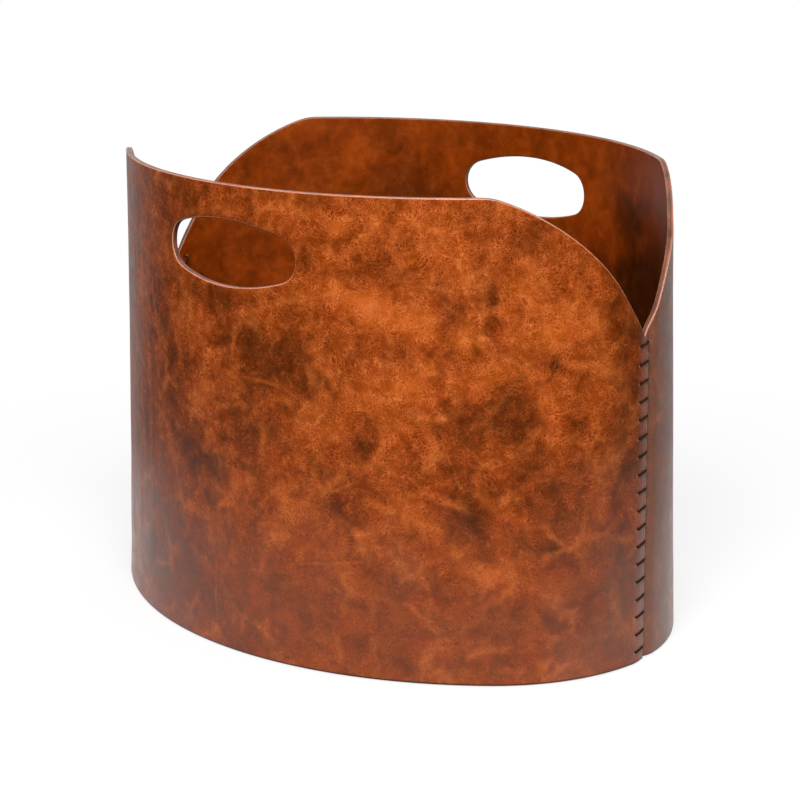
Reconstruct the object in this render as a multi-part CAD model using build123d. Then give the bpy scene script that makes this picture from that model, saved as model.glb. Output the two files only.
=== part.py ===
from build123d import *
from math import atan2, cos, degrees, pi, radians, sin, sqrt, tan
import os

os.makedirs("parts", exist_ok=True)

# An oval log bucket of saddle leather, in millimetres, standing on the floor with its centre at the origin.
# It has two identical walls. Each is bent from one panel, laps over the other wall at one end and goes under it
# at the other end. The rear wall is the front wall turned half a turn.

# Outline of the bucket: ovals of four tangent arcs, at the base and at the rim
overall_length = 480.0
base_width = 353.0
base_end_radius = 141.0
wall_height = 343.0
rim_width = 349.0
rim_end_radius = 98.0

# Leather
outer_ply = 2.2
lining_ply = 2.2
lap_gap = 0.1

# Rim of each wall, drawn on the flat panel from the end seam: a slope, two arcs, then level
notch_height = 235.5
notch_slope = 56.0
lower_rim_radius = 182.0
upper_rim_radius = 45.0
rim_arcs_meet_at = 20.0
rim_station_spacing = 12.0

# Hand slot, an oval of four tangent arcs on the flat panel
slot_length = 126.0
slot_width = 47.6
slot_end_radius = 17.0
slot_below_rim = 48.5

# Lapped end seams
outer_lap = 4.0
inner_lap = 16.0
skive_width = 5.0
skive_depth = 1.6

# Whip stitching through both walls
thread_diameter = 1.4
thread_clearance = 0.1
stitch_pitch = 13.2
first_stitch_height = 8.3
hole_behind_edge = 12.5
hole_past_edge = 1.6
stitch_rise = 0.9
last_stitch_below_notch = 2.5
thread_tail = 6.0
thread_sides = 6

# Floor
underside_ply = 2.0
board_thickness = 10.0
floor_cover_ply = 2.0
floor_clearance = 0.5
stitch_relief_margin = 3.0

# Tacks through the lining into the edge of the board
tacks_per_wall = 8
tack_spacing = 58.0
tack_length = 13.0
tack_shank = 1.6
tack_tip = 0.4
tack_head_diameter = 5.0
tack_head_sides = 8
tack_head_thickness = 0.5
tack_head_recess = 0.3

# One overrun for every cut
overrun = 10.0

wall = outer_ply + lining_ply
lap_step = wall + lap_gap
panel_half_length = (overall_length - lap_step) / 2
blank_height = wall_height + overrun
quarter_turn = pi / 2


def side_radius(half_length, half_width, end_radius):
    """Radius of an oval's side arcs, which meet its end arcs in tangents."""
    across = half_length**2 + half_width**2 - 2 * half_length * end_radius
    return across / (2 * (half_width - end_radius))


def oval(half_length, half_width, end_radius):
    """A face bounded by two end arcs and two side arcs, about its centre."""
    long_radius = side_radius(half_length, half_width, end_radius)
    end_centre = half_length - end_radius
    side_centre = long_radius - half_width
    meet = degrees(atan2(side_centre, end_centre))
    return make_face(
        [
            CenterArc((end_centre, 0), end_radius, -meet, 2 * meet),
            CenterArc((0, -side_centre), long_radius, meet, 180 - 2 * meet),
            CenterArc((-end_centre, 0), end_radius, 180 - meet, 2 * meet),
            CenterArc((0, side_centre), long_radius, 180 + meet, 180 - 2 * meet),
        ]
    )


def plan_at(level):
    """Half width and end radius of a wall's outer face at a height. Both change evenly from base to rim."""
    share = level / wall_height
    half_width = (base_width + (rim_width - base_width) * share) / 2
    end_radius = base_end_radius + (rim_end_radius - base_end_radius) * share
    return half_width, end_radius


def arcs_at(level):
    """Side radius and half angle of the side arc of the oval that plan_at gives for a height."""
    half_width, end_radius = plan_at(level)
    long_radius = side_radius(panel_half_length, half_width, end_radius)
    side_angle = quarter_turn - atan2(long_radius - half_width, panel_half_length - end_radius)
    return long_radius, side_angle


def arc_lengths(level):
    """Lengths along a wall at a height: from its middle to the end arc, and on to the end of the long axis."""
    lengths = []
    for section in (0, blank_height):
        long_radius, side_angle = arcs_at(section)
        lengths.append(Vector(long_radius * side_angle, plan_at(section)[1] * (quarter_turn - side_angle)))
    along = lengths[0] + (lengths[1] - lengths[0]) * (level / blank_height)
    return along.X, along.Y


def quarter_length(level):
    """Length along a wall from its middle to the end of the long axis, at a height."""
    return sum(arc_lengths(level))


def section_point(side_share, end_share, outward, section):
    """A point of the lowest or the topmost section, by its shares along the side arc and the end arc."""
    half_width, end_radius = plan_at(section)
    long_radius, side_angle = arcs_at(section)
    angle = side_angle * side_share + (quarter_turn - side_angle) * end_share
    if end_share > 0:
        x = panel_half_length - end_radius + (end_radius + outward) * sin(angle)
        y = -(end_radius + outward) * cos(angle)
    else:
        x = (long_radius + outward) * sin(angle)
        y = long_radius - half_width - (long_radius + outward) * cos(angle)
    return Vector(x, y, section)


def wall_point(distance, outward, level):
    """A point by its distance along the front wall from the middle, and how far it stands out from its face.
    It lies on the straight line that joins the wall's lowest and topmost sections there."""
    side_length, end_length = arc_lengths(level)
    run = abs(distance)
    side_share = min(run / side_length, 1)
    end_share = max(run - side_length, 0) / end_length
    low = section_point(side_share, end_share, outward, 0)
    high = section_point(side_share, end_share, outward, blank_height)
    point = low + (high - low) * (level / blank_height)
    return point if distance >= 0 else Vector(-point.X, point.Y, level)


def rim_height(from_end):
    """Height of the rim at a distance along the wall from the end of the long axis."""
    steep = radians(notch_slope)
    bend = radians(rim_arcs_meet_at)
    upper_run = upper_rim_radius * sin(bend)
    upper_rise = upper_rim_radius * (1 - cos(bend))
    lower_run = lower_rim_radius * (sin(steep) - sin(bend))
    lower_rise = lower_rim_radius * (cos(bend) - cos(steep))
    straight_rise = wall_height - notch_height - upper_rise - lower_rise
    straight_run = straight_rise / tan(steep)
    if from_end < straight_run:
        return notch_height + from_end * tan(steep)
    if from_end < straight_run + lower_run:
        lean = sin(steep) - (from_end - straight_run) / lower_rim_radius
        return notch_height + straight_rise + lower_rim_radius * (sqrt(1 - lean**2) - cos(steep))
    if from_end < straight_run + lower_run + upper_run:
        lean = sin(bend) - (from_end - straight_run - lower_run) / upper_rim_radius
        return wall_height - upper_rim_radius * (1 - sqrt(1 - lean**2))
    return wall_height


def blank(inset):
    """The whole oval volume inside one face of the walls, a little taller than the rim."""
    sections = []
    for level in (0, blank_height):
        half_width, end_radius = plan_at(level)
        face = oval(panel_half_length - inset, half_width - inset, end_radius - inset)
        sections.append(Pos(0, 0, level) * face)
    return loft(sections, ruled=True)


def rim_waste():
    """What is trimmed off above the rim, cut square to the wall."""
    past_end = inner_lap + overrun
    along = quarter_length(wall_height)
    steps = round((along + past_end) / rim_station_spacing)
    from_ends = [(along + past_end) * step / steps - past_end for step in range(steps + 1)]
    stations = [(-1, from_end) for from_end in from_ends] + [(1, from_end) for from_end in from_ends[-2::-1]]
    edges = []
    for outward in (overrun, -wall - overrun):
        points = []
        for hand, from_end in stations:
            level = rim_height(from_end)
            points.append(wall_point(hand * (quarter_length(level) - from_end), outward, level))
        edges.append(Spline(points))
    blade = Face.make_surface_from_curves(*edges)
    return extrude(blade, amount=wall_height, dir=(0, 0, 1))


def hand_slot():
    """The slot through the middle of the front wall, its edges square to the curved leather."""
    level = wall_height - slot_below_rim
    half_width = plan_at(level)[0]
    long_radius = arcs_at(level)[0]
    half_angle = slot_length / 2 / long_radius
    bow = long_radius * (1 - cos(half_angle))
    sections = []
    for outward in (overrun, -bow - wall - overrun):
        plane = Plane(origin=(0, -half_width - outward, level), x_dir=(1, 0, 0), z_dir=(0, -1, 0))
        half_length = (long_radius + outward) * tan(half_angle)
        sections.append(plane * oval(half_length, slot_width / 2, slot_end_radius))
    return loft(sections, ruled=True)


def panel_region():
    """The part of the oval that the front wall covers: past each end of the long axis by its lap."""
    reach = overall_length
    height = wall_height + 2 * overrun
    lapped_over = Box(reach, reach, height, align=(Align.MIN, Align.MAX, Align.MIN))
    lapped_under = Box(reach, reach, height, align=(Align.MAX, Align.MAX, Align.MIN))
    return Pos(0, outer_lap, 0) * lapped_over + Pos(0, inner_lap, 0) * lapped_under


def skive():
    """The wedge pared off the outer corner of the end that laps outside."""
    slope = Vector(-skive_depth, skive_width).normalized()
    start = Vector(panel_half_length, outer_lap - skive_width) - slope * overrun
    end = Vector(panel_half_length - skive_depth, outer_lap) + slope * overrun
    far = Vector(panel_half_length + overrun, end.Y)
    near = Vector(panel_half_length + overrun, start.Y)
    wedge = make_face(Polyline(start, end, far, near, close=True))
    return extrude(wedge, amount=blank_height)


def stitch_heights():
    """Heights of the stitches, as many as the seam has room for."""
    room = notch_height - last_stitch_below_notch - first_stitch_height
    count = int(room / stitch_pitch) + 1
    return [first_stitch_height + stitch_pitch * row for row in range(count)]


def awl_hole(hand, y, level):
    """A four-sided awl hole across the lap, at the right or left end of a wall."""
    half_diagonal = (thread_diameter / 2 + thread_clearance) * sqrt(2)
    reach = 2 * wall + overrun
    plane = Plane(origin=(hand * (panel_half_length - reach), y, level), x_dir=(0, 1, 0), z_dir=(hand, 0, 0))
    return extrude(plane * RegularPolygon(half_diagonal, 4), amount=reach + overrun)


def stitch_holes():
    """Every awl hole of one wall: one row in its outer lap, two rows where it goes under the other wall."""
    over = hole_behind_edge - outer_lap
    under = outer_lap + hole_past_edge
    holes = []
    for level in stitch_heights():
        holes.append(awl_hole(1, -over, level))
        holes.append(awl_hole(-1, over, level))
        holes.append(awl_hole(-1, -under, level + stitch_rise))
    return holes


def lining_plane(distance, level):
    """A plane on the lining's outer face that leans as the wall does there and looks into the bucket."""
    reach = tack_head_diameter / 2
    before, after = (wall_point(distance + side * reach, -outer_ply, level) for side in (-1, 1))
    below, above = (wall_point(distance, -outer_ply, level + side * reach) for side in (-1, 1))
    upward = above - below
    return Plane(origin=wall_point(distance, -outer_ply, level), x_dir=upward, z_dir=upward.cross(after - before))


def tack_places():
    """The plane of each tack of the front wall, at half the height of the board's edge."""
    level = underside_ply + board_thickness / 2
    middle = (tacks_per_wall - 1) / 2
    return [lining_plane(tack_spacing * (number - middle), level) for number in range(tacks_per_wall)]


def head_outline():
    """The roughly round outline that a struck tack head has."""
    return RegularPolygon(tack_head_diameter / 2, tack_head_sides)


def tack():
    """A cut tack: a thin struck head on a square shank that tapers to its point."""
    head = Pos(0, 0, tack_head_recess) * extrude(head_outline(), amount=tack_head_thickness)
    root = tack_head_recess + tack_head_thickness / 2
    sections = [
        Pos(0, 0, root) * Rectangle(tack_shank, tack_shank),
        Pos(0, 0, tack_length) * Rectangle(tack_tip, tack_tip),
    ]
    return head + loft(sections, ruled=True)


def head_pocket():
    """The pocket that a tack's head presses into the lining."""
    depth = tack_head_recess + tack_head_thickness
    return Pos(0, 0, depth) * extrude(head_outline(), amount=-depth - outer_ply)


def make_plies():
    """The outer ply and the lining of the front wall, moved to their place."""
    faces = [blank(0), blank(outer_ply), blank(wall)]
    region = panel_region()
    waste = rim_waste()
    slot = hand_slot()
    holes = stitch_holes()
    plies = []
    for number in range(2):
        ply = (faces[number] - faces[number + 1]) & region
        ply = ply - waste - slot
        plies.append(ply - holes)
    outer = plies[0] - skive()
    lining = plies[1] - [place * head_pocket() for place in tack_places()]
    lining = lining - [place * tack() for place in tack_places()]
    shift = Pos(lap_step / 2, 0, 0)
    return shift * outer, shift * lining


def against_lining(y, level):
    """A point of the thread's middle where it lies on the inside of the right end, at a place across the seam."""
    inward = wall + thread_diameter / 2 + thread_clearance
    x = wall_point(quarter_length(level) + abs(y), -inward, level).X
    return Vector(x - lap_step / 2, y, level)


def thread_path():
    """Corners of the whip stitching at the right end seam, from inside the lowest stitch upwards."""
    outside = overall_length / 2 + thread_diameter / 2 + thread_clearance
    over = outer_lap - hole_behind_edge
    under = outer_lap + hole_past_edge
    heights = stitch_heights()
    points = [against_lining(over - thread_tail, heights[0])]
    for level in heights:
        points.append(against_lining(over, level))
        points.append(Vector(outside, over, level))
        points.append(Vector(outside, under, level + stitch_rise))
        points.append(against_lining(under, level + stitch_rise))
    points.append(against_lining(under + thread_tail, heights[-1] + stitch_rise))
    return points


def mitred_tube(points, radius, sides):
    """A tube with flat sides and mitred corners along a route of straight runs."""
    run = (points[1] - points[0]).normalized()
    start = Plane(origin=points[0], z_dir=run)
    ring = []
    for side in range(sides):
        angle = 2 * pi * side / sides
        ring.append(start.origin + start.x_dir * (radius * cos(angle)) + start.y_dir * (radius * sin(angle)))
    faces = [make_face(Polyline(*ring, close=True)).face()]
    for here, ahead in zip(points[1:], points[2:] + [None]):
        following = (ahead - here).normalized() if ahead else run
        mitre = run + following
        mitred = [corner + run * ((here - corner).dot(mitre) / run.dot(mitre)) for corner in ring]
        for side in range(sides):
            after = (side + 1) % sides
            corners = (ring[side], ring[after], mitred[after], mitred[side])
            faces.append(make_face(Polyline(*corners, close=True)).face())
        ring = mitred
        run = following
    faces.append(make_face(Polyline(*ring, close=True)).face())
    return Solid(Shell(faces))


def floor_outline(level):
    """The oval between the walls at a height, stepped at the seams where one wall ends inside the other."""
    inset = wall + floor_clearance
    half_width, end_radius = plan_at(level)
    inside = oval(panel_half_length - inset, half_width - inset, end_radius - inset)
    front = Pos(lap_step / 2, 0) * inside
    rear = Pos(-lap_step / 2, 0) * inside
    step = inner_lap + floor_clearance
    size = overall_length + base_width
    front_half = Pos(0, -step) * Rectangle(size, size, align=(Align.CENTER, Align.MAX))
    rear_half = Pos(0, step) * Rectangle(size, size, align=(Align.CENTER, Align.MIN))
    outline = (front & rear) + (front & front_half) + (rear & rear_half)
    thread_end = hole_behind_edge - outer_lap + thread_tail
    clear_of_thread = against_lining(-thread_end, first_stitch_height).X - thread_diameter / 2 - thread_clearance
    band = Rectangle(size, 2 * (thread_end + stitch_relief_margin))
    return (outline - band) + (outline & band & Rectangle(2 * clear_of_thread, size))


def floor_layer(bottom, thickness):
    """One layer of the floor, cut to fit between the walls at its top."""
    return Pos(0, 0, bottom) * extrude(floor_outline(bottom + thickness), amount=thickness)


def half_turned(shape):
    """The same piece at the other side of the bucket."""
    return Rot(0, 0, 180) * shape


def make_tacks():
    """The tacks of both walls."""
    shift = Pos(lap_step / 2, 0, 0)
    front = [shift * (place * tack()) for place in tack_places()]
    return front + [half_turned(one) for one in front]


front_outer, front_lining = make_plies()
seam = mitred_tube(thread_path(), thread_diameter / 2, thread_sides)
tacks = make_tacks()
board = floor_layer(underside_ply, board_thickness) - tacks

nodes = {
    "front_outer_leather": front_outer,
    "front_lining": front_lining,
    "rear_outer_leather": half_turned(front_outer),
    "rear_lining": half_turned(front_lining),
    "right_seam_thread": seam,
    "left_seam_thread": half_turned(seam),
    "floor_board": board,
    "floor_top_leather": floor_layer(underside_ply + board_thickness, floor_cover_ply),
    "floor_underside_leather": floor_layer(0, underside_ply),
    "floor_tacks": Compound(children=tacks),
}

for name, shape in nodes.items():
    export_step(shape, f"parts/{name}.step")
    print(name, len(shape.solids()), "solids", round(shape.volume), "mm3")
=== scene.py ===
# %% [markdown]
# A log bucket of saddle leather.
# The real bucket is two oval leather walls, lapped and sewn at both ends round a floor. This lesson cuts each ply of
# leather flat, as a leather worker does, rounds its edges, and only then bends it into its place.
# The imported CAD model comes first. It is the frame that every new piece has to agree with.

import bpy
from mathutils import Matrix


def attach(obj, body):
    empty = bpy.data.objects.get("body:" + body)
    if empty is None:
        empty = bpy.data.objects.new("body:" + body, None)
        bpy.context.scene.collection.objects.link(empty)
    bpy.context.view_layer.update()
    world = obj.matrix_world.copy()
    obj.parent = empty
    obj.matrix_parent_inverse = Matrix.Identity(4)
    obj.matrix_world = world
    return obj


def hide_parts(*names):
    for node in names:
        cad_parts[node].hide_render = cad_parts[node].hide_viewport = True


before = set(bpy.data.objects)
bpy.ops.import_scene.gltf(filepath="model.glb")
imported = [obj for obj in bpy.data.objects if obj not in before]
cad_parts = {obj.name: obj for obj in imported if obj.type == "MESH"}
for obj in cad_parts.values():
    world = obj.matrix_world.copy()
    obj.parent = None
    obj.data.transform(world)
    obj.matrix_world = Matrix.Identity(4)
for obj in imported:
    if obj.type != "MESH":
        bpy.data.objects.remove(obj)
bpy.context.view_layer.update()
print("CAD nodes:", ", ".join(sorted(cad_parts)))

# %% [markdown]
# Sizes are given in millimetres, as on a leather worker's bench, and Blender works in metres, so mm turns the one into
# the other. Smooth noise from mathutils gives unevenness that is the same in every run.

# %% Tools
from math import atan2, cos, exp, hypot, pi, radians, sin, sqrt, tan

import bmesh
import bpy
from mathutils import Matrix, Vector, noise

mm = 0.001

# %% [markdown]
# The sizes are those of the real bucket in millimetres, the same that the CAD model was made from. The sheets are
# saddle leather of 2.2 mm, two to a wall, and the seam's holes are pricked at an even pitch.

# %% Sizes of the bucket
overall_length = 480.0
base_width = 353.0
base_end_radius = 141.0
wall_height = 343.0
rim_width = 349.0
rim_end_radius = 98.0
ply = 2.2
wall = 2 * ply
lap_step = wall + 0.1
half_length = (overall_length - lap_step) / 2
ruled_to = wall_height + 10
outer_lap = 4.0
inner_lap = 16.0
skive_width = 5.0
skive_depth = 1.6
pared_width = 7.0
stitch_pitch = 13.2
first_stitch = 8.3
stitch_count = 18
stitch_rise = 0.9
hole_before_end = 8.5
hole_past_end = 5.6
seam_reach = 15.0
smooth_below = 32
print("bucket, mm:", overall_length, base_width, wall_height)


# %% [markdown]
# A wall is ruled between an oval of four arcs at the floor and another above the rim, so any point of it lies on a
# straight line between the two. With that, a place on the flat leather can be turned into a place on the bent wall.

# %% Where a place on the leather goes when the wall is bent
def section(level):
    """Half width, end radius, side radius and half angle of the side arc of the oval at a height."""
    share = level / wall_height
    half_width = (base_width + (rim_width - base_width) * share) / 2
    end_radius = base_end_radius + (rim_end_radius - base_end_radius) * share
    across = half_length**2 + half_width**2 - 2 * half_length * end_radius
    side_radius = across / (2 * (half_width - end_radius))
    side_angle = pi / 2 - atan2(side_radius - half_width, half_length - end_radius)
    return half_width, end_radius, side_radius, side_angle


low_section = section(0)
high_section = section(ruled_to)


def arc_lengths(level):
    """Length of the wall from its middle to the end arc, and from there to the end of the long axis."""
    lengths = []
    for half_width, end_radius, side_radius, side_angle in (low_section, high_section):
        lengths.append(Vector((side_radius * side_angle, end_radius * (pi / 2 - side_angle))))
    return lengths[0].lerp(lengths[1], level / ruled_to)


def section_point(shape, side_share, end_share, outward):
    """A point of one of the two sections that the wall is ruled between."""
    half_width, end_radius, side_radius, side_angle = shape
    angle = side_angle * side_share + (pi / 2 - side_angle) * end_share
    if end_share > 0:
        radius = end_radius + outward
        return Vector((half_length - end_radius + radius * sin(angle), -radius * cos(angle)))
    radius = side_radius + outward
    return Vector((radius * sin(angle), side_radius - half_width - radius * cos(angle)))


def bent(from_middle, outward, level):
    """The place in the bucket of a point of the front wall, all in millimetres."""
    side_length, end_length = arc_lengths(level)
    run = abs(from_middle)
    side_share = min(run / side_length, 1)
    end_share = max(run - side_length, 0) / end_length
    low = section_point(low_section, side_share, end_share, outward)
    high = section_point(high_section, side_share, end_share, outward)
    place = low.lerp(high, level / ruled_to)
    hand = 1 if from_middle >= 0 else -1
    return Vector((hand * place.x + lap_step / 2, place.y, level))


quarter = sum(arc_lengths(0))
print("flat panel, middle to end:", round(quarter, 1), "mm")

# %% [markdown]
# The rim of each wall is cut in a long S: a slope near the seam, two arcs, and level in the middle. At the end that
# laps outside, the corner between the slope and the upright edge is rounded off.

# %% The line of the rim
notch_height = 235.5
notch_slope = radians(56)
arcs_meet = radians(20)
lower_radius = 182.0
upper_radius = 45.0
corner_reach = 6.0


def rim_height(from_end):
    """Height of the rim at a distance from the end of the long axis, measured along the wall."""
    upper_run = upper_radius * sin(arcs_meet)
    upper_rise = upper_radius * (1 - cos(arcs_meet))
    lower_run = lower_radius * (sin(notch_slope) - sin(arcs_meet))
    lower_rise = lower_radius * (cos(arcs_meet) - cos(notch_slope))
    straight_rise = wall_height - notch_height - upper_rise - lower_rise
    straight_run = straight_rise / tan(notch_slope)
    if from_end < straight_run:
        return notch_height + from_end * tan(notch_slope)
    if from_end < straight_run + lower_run:
        lean = sin(notch_slope) - (from_end - straight_run) / lower_radius
        return notch_height + straight_rise + lower_radius * (sqrt(1 - lean**2) - cos(notch_slope))
    if from_end < straight_run + lower_run + upper_run:
        lean = sin(arcs_meet) - (from_end - straight_run - lower_run) / upper_radius
        return wall_height - upper_radius * (1 - sqrt(1 - lean**2))
    return wall_height


def rim_at(x):
    """Height of the rim above a place on the flat panel, and the slope of the rim there."""
    heights = []
    for place in (x, x + 0.1):
        level = wall_height
        for _ in range(4):
            level = rim_height((quarter - abs(place)) * sum(arc_lengths(level)) / quarter)
        heights.append(level)
    past = x - (quarter + outer_lap - corner_reach / 2)
    drop = 0.4 * max(past, 0) ** 2
    return heights[0] - drop, abs(heights[1] - heights[0]) / 0.1


print("rim at the middle and at the seam:", rim_at(0)[0], round(rim_at(quarter)[0], 1))


# %% [markdown]
# The plies are worked with Blender's own modelling tools. Each of them works on what is selected, so these helpers
# select one piece, or the vertices, edges or faces of it for which a question is answered with yes.

# %% Small helpers for working in edit mode
def placed(name, data):
    """A new object in the scene that holds a mesh, a curve, a lamp or a camera."""
    piece = bpy.data.objects.new(name, data)
    bpy.context.scene.collection.objects.link(piece)
    return piece


def alone(piece):
    """Makes one object the only selected one."""
    bpy.ops.object.select_all(action="DESELECT")
    piece.select_set(True)
    bpy.context.view_layer.objects.active = piece


def pick(piece, kind, wanted):
    """Goes into edit mode and selects the vertices, edges or faces for which wanted says yes."""
    alone(piece)
    bpy.ops.object.mode_set(mode="EDIT")
    bpy.ops.mesh.select_mode(type=kind)
    bpy.ops.mesh.select_all(action="DESELECT")
    form = bmesh.from_edit_mesh(piece.data)
    for part in {"VERT": form.verts, "EDGE": form.edges, "FACE": form.faces}[kind]:
        if wanted(part):
            part.select_set(True)
    bmesh.update_edit_mesh(piece.data)


def done():
    """Goes back to object mode."""
    bpy.ops.object.mode_set(mode="OBJECT")


def weld(piece, reach):
    """Merges vertices nearer than reach and stays in edit mode with all of the piece selected."""
    pick(piece, "VERT", lambda v: True)
    bpy.ops.mesh.remove_doubles(threshold=reach)
    bpy.ops.mesh.select_all(action="SELECT")


def centre(part):
    """The middle of an edge or a face."""
    return sum((v.co for v in part.verts), Vector()) / len(part.verts)


# %% [markdown]
# A ply could be one plane cut by booleans, but their long thin triangles show as soon as glossy leather is bent. A
# grid whose columns each end at the rim gives even four-sided faces, and they bend cleanly. The columns stand closer
# together at the two ends, where the stitches dent the leather.

# %% Cut a ply flat
fine_width = 20.0
fine_columns = 13
wide_columns = 176
rows = 118
top_gap = 2.6
slot_level = 294.5
slot_half_length = 63.0
slot_half_width = 23.8
slot_end_radius = 17.0
window_half_length = 72.0
window_half_height = 33.0


def column_place(number):
    """Where a column of the grid stands on the flat panel."""
    left, right = -quarter - inner_lap, quarter + outer_lap
    if number < fine_columns:
        return left + fine_width * number / fine_columns
    if number > fine_columns + wide_columns:
        return right - fine_width * (2 * fine_columns + wide_columns - number) / fine_columns
    return left + fine_width + (right - left - 2 * fine_width) * (number - fine_columns) / wide_columns


def slot_outline(x, y):
    """Moves a point of the rectangular window to the matching point of the slot's oval outline."""
    corner = window_half_length + window_half_height
    if abs(abs(x) - window_half_length) < abs(abs(y) - window_half_height):
        walked = abs(y) / corner
    else:
        walked = (window_half_height + window_half_length - abs(x)) / corner
    across = slot_half_length**2 + slot_half_width**2 - 2 * slot_half_length * slot_end_radius
    long_radius = across / (2 * (slot_half_width - slot_end_radius))
    end_centre, side_centre = slot_half_length - slot_end_radius, long_radius - slot_half_width
    meet = atan2(side_centre, end_centre)
    end_arc, side_arc = slot_end_radius * meet, long_radius * (pi / 2 - meet)
    run = walked * (end_arc + side_arc)
    if run < end_arc:
        angle = run / slot_end_radius
        place = (end_centre + slot_end_radius * cos(angle), slot_end_radius * sin(angle))
    else:
        angle = meet + (run - end_arc) / long_radius
        place = (long_radius * cos(angle), long_radius * sin(angle) - side_centre)
    return (place[0] if x > 0 else -place[0]), (place[1] if y > 0 else -place[1])


def flat_ply(name, level):
    """A flat ply without thickness: x runs along the wall, y up the wall, z out of it, all in millimetres."""
    columns = 2 * fine_columns + wide_columns
    bpy.ops.object.select_all(action="DESELECT")
    bpy.ops.mesh.primitive_grid_add(x_subdivisions=columns, y_subdivisions=rows, size=1)
    piece = bpy.context.object
    piece.name = name
    for v in piece.data.vertices:
        x = column_place(round((v.co.x + 0.5) * columns))
        row = round((v.co.y + 0.5) * rows)
        top, slope = rim_at(x)
        gap = top_gap * hypot(1, slope)
        v.co = (x, top if row == rows else (top - gap) * row / (rows - 1), level)
    xs = sorted({round(v.co.x, 4) for v in piece.data.vertices})
    ys = sorted({round(v.co.y, 4) for v in piece.data.vertices if abs(v.co.x) < 40})
    left = max(x for x in xs if x < -window_half_length)
    right = min(x for x in xs if x > window_half_length)
    low = max(y for y in ys if y < slot_level - window_half_height)
    high = min(y for y in ys if y > slot_level + window_half_height)

    def inside(face):
        place = centre(face)
        return left < place.x < right and low < place.y < high

    pick(piece, "FACE", inside)
    bpy.ops.mesh.delete(type="FACE")
    done()

    def border(edge):
        place = centre(edge)
        return edge.is_boundary and left - 1 < place.x < right + 1 and low - 1 < place.y < high + 1

    pick(piece, "EDGE", border)
    bpy.ops.mesh.extrude_region_move(TRANSFORM_OT_translate={"value": (0, 0, 0)})
    form = bmesh.from_edit_mesh(piece.data)
    wide, tall = (right - left) / 2, (high - low) / 2
    mid_x, mid_y = (right + left) / 2, (high + low) / 2
    for v in form.verts:
        if v.select:
            share_x = (v.co.x - mid_x) / wide * window_half_length
            share_y = (v.co.y - mid_y) / tall * window_half_height
            x, y = slot_outline(share_x, share_y)
            v.co = (x, slot_level + y, level)
    bmesh.update_edit_mesh(piece.data)
    done()

    def spoke(edge):
        spots = [hypot(v.co.x / wide, (v.co.y - slot_level) / tall) for v in edge.verts]
        on_window = [min(abs(abs(v.co.x - mid_x) - wide), abs(abs(v.co.y - mid_y) - tall)) < 0.01
                     for v in edge.verts]
        return on_window[0] != on_window[1] and max(spots) < 1.5 and min(spots) < 0.95

    pick(piece, "EDGE", spoke)
    bpy.ops.mesh.subdivide_edgering(number_cuts=3, interpolation="LINEAR")
    done()
    return piece


# %% [markdown]
# A real ply has a thickness and worked edges. The outside corner is rounded with an edge tool and burnished, and the
# corner at the glue line keeps a hair of a groove, so that the two plies can be told apart at the rim.

# %% Give a ply its thickness and its edges
edge_round = 1.15
glue_round = 0.22


def near_seam(face):
    """The strips of leather where stitches pull on it."""
    place = centre(face)
    return place.x > quarter - 12.5 or -quarter + 2 < place.x < -quarter + 10


def thick_ply(name, outer):
    """A ply with its thickness and rounded edges, still flat."""
    top = 0 if outer else -ply
    piece = flat_ply(name, top)
    if outer:
        pick(piece, "FACE", near_seam)
        bpy.ops.mesh.subdivide(number_cuts=2)
        done()
    alone(piece)
    solidify = piece.modifiers.new("thickness", "SOLIDIFY")
    solidify.thickness = ply
    solidify.offset = -1
    bpy.ops.object.modifier_apply(modifier=solidify.name)
    for level, rounding, segments in ((top, edge_round if outer else glue_round, 4 if outer else 1),
                                      (top - ply, glue_round if outer else edge_round, 1 if outer else 4)):
        def corner(edge):
            if abs(edge.verts[0].co.z - level) > 0.01 or abs(edge.verts[1].co.z - level) > 0.01:
                return False
            leans = sorted(abs(face.normal.z) for face in edge.link_faces)
            return leans[0] < 0.1 and leans[-1] > 0.9

        pick(piece, "EDGE", corner)
        bpy.ops.mesh.bevel(offset=rounding, segments=segments, profile=0.5, affect="EDGES", clamp_overlap=False)
        done()
    return piece


flat_outer = thick_ply("flat_outer_ply", True)
flat_lining = thick_ply("flat_lining_ply", False)
for flat in (flat_outer, flat_lining):
    print(flat.name, len(flat.data.polygons), "faces")

# %% [markdown]
# Hand stitching is never quite even, so each stitch gets its own small offsets. They come from smooth noise, which
# gives the same stitches every time. The thread pulls a dimple at each hole and a shallow groove under each bar.

# %% Where the stitches are and how they dent the leather
dimple_depth = 0.75
dimple_radius = 1.15
groove_depth = 0.3
groove_half_width = 1.0
stitch_wander = 0.35
lap_squeeze = 0.4
bar_length = hole_before_end + hole_past_end


def fade(value, start, end):
    """Goes smoothly from 0 at start to 1 at end."""
    share = min(max((value - start) / (end - start), 0), 1)
    return share * share * (3 - 2 * share)


def stitch(row):
    """Place along the wall of a stitch's first hole, its height there, and its height where it goes back in."""
    wander = noise.noise_vector(Vector((row * 3.7 + 0.4, 5.2, 1.3))) * stitch_wander
    level = first_stitch + stitch_pitch * row
    return -hole_before_end + wander.x, level + wander.y, level + stitch_rise + wander.z


stitches = [stitch(row) for row in range(stitch_count)]
print("stitches:", len(stitches), "bars of", round(bar_length, 1), "mm")


def nearest_row(level):
    """The stitch nearest to a height."""
    return stitches[min(max(round((level - first_stitch) / stitch_pitch), 0), stitch_count - 1)]


def hole_distance(x, y):
    """How far a place on the flat panel is from the nearest awl hole."""
    start, low, high = nearest_row(y)
    return min(hypot(x - quarter - start, y - low), hypot(x + quarter - hole_past_end, y - high))


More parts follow.
